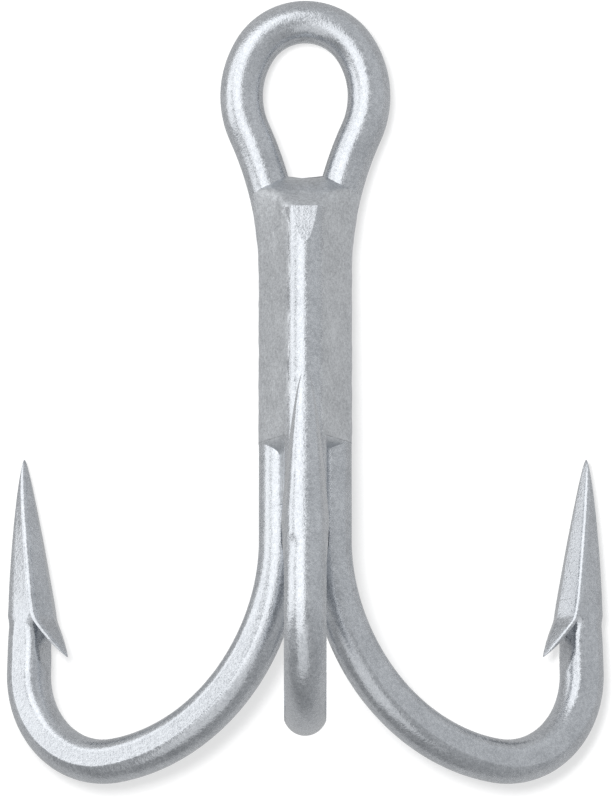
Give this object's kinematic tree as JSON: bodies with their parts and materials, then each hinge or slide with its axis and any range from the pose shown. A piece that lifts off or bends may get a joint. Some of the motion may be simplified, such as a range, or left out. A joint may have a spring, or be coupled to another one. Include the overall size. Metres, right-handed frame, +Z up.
{
  "type": "treble hook",
  "caption": "Short-shanked treble fishing hook: a heavy wire with a teardrop eye and two barbed hooks, a second barbed hook laid in its front groove, brazed along the shank.",
  "frame": {"origin": "centre of the eye's hole, in the middle of the eye's wire", "axes": "+Z up the shank towards the eye, X across the eye, so the eye lies in the XZ plane, and the single hook opens towards -Y"},
  "size_m": [0.045, 0.0394, 0.0582],
  "materials": {
    "hook_wire": "satin, faintly grainy grey plating over steel wire",
    "braze_metal": "the same satin grey plating, a little duller, over brazing metal"
  },
  "bodies": {
    "root": {"double_hook": "hook_wire", "single_hook": "hook_wire", "braze": "braze_metal"}
  },
  "joints": []
}
